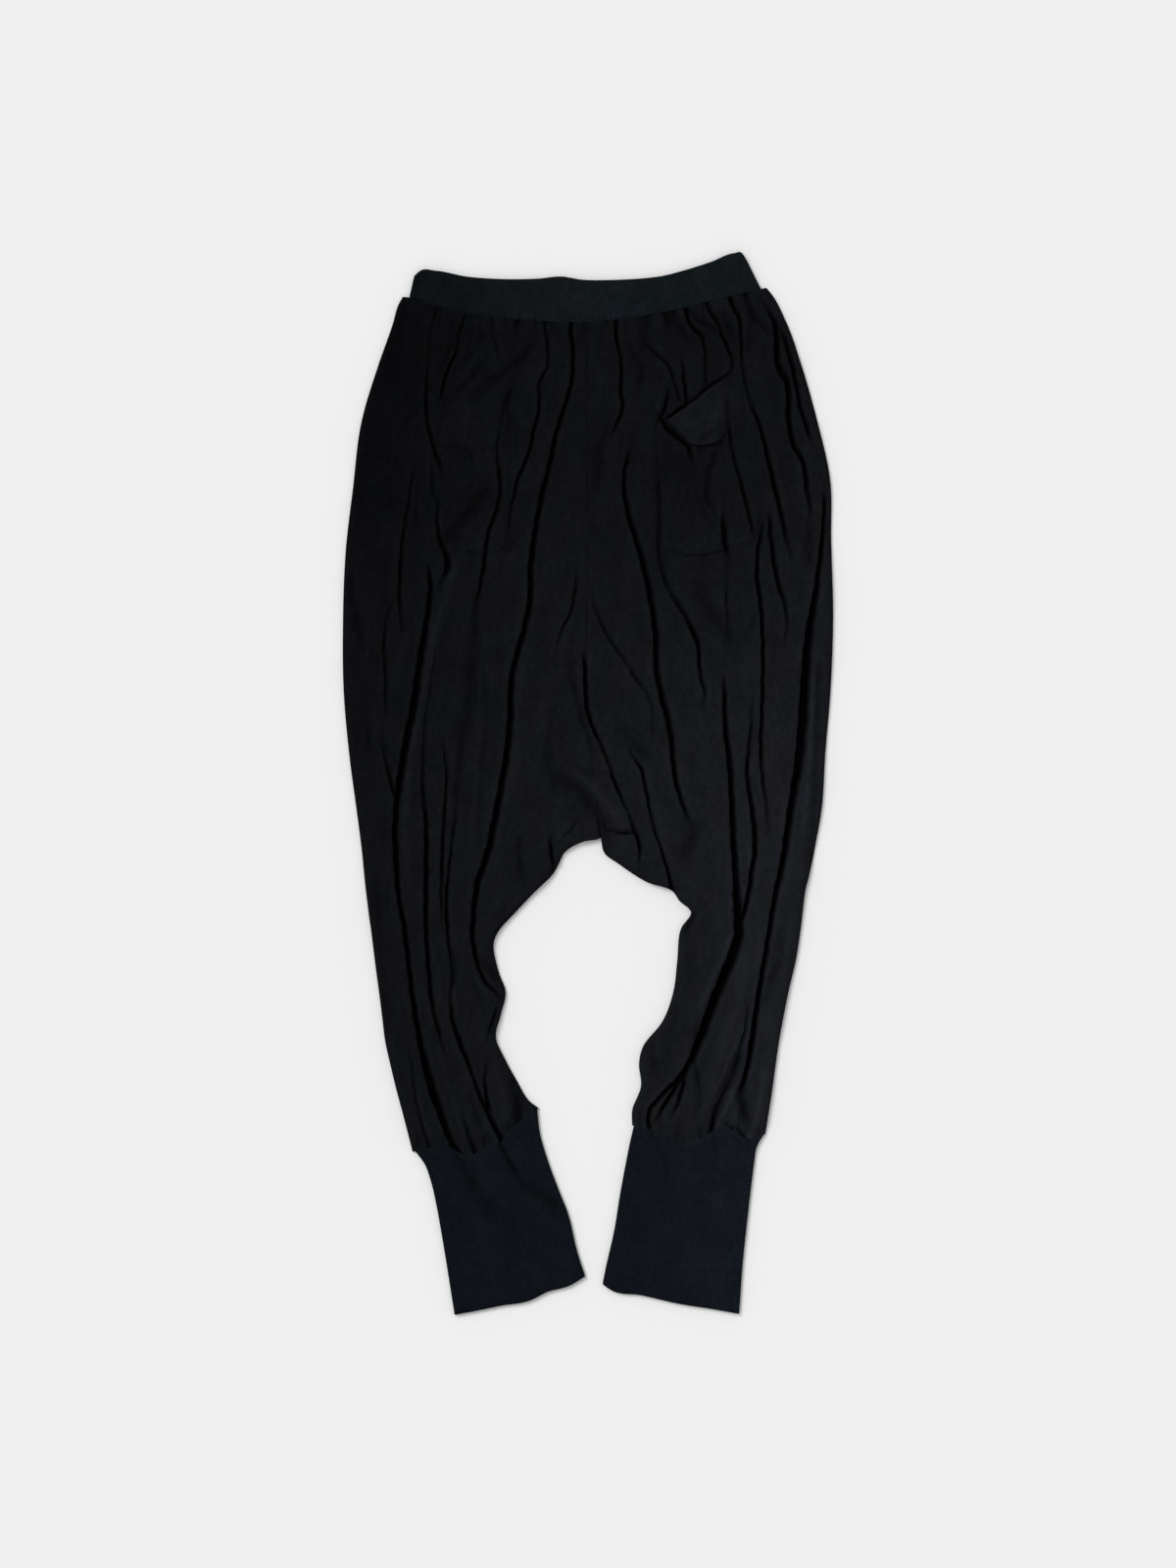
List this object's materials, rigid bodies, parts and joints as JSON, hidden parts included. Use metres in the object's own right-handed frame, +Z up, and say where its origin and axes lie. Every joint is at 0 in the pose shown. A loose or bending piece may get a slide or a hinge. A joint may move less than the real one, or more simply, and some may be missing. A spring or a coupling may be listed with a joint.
{
  "type": "harem pants",
  "caption": "Black drop-crotch harem pants laid flat, with gathered crinkled panels, patch pockets, a rib waistband and long rib cuffs.",
  "frame": {"origin": "middle of the laid garment, on the surface that it lies on", "axes": "+Y towards the waistband, +X to the right as seen from above with the waist up, +Z up from the surface"},
  "size_m": [0.5002, 1.0816, 0.0117],
  "materials": {
    "cloth": "matt black crinkled jersey, slightly warm",
    "rib": "matt blue-black fine rib knit"
  },
  "bodies": {
    "root": {"back_left": "cloth", "back_right": "cloth", "front_left": "cloth", "front_right": "cloth", "pocket_left": "cloth", "pocket_right": "cloth", "waistband": "rib", "cuff_left": "rib", "cuff_right": "rib"}
  },
  "joints": []
}
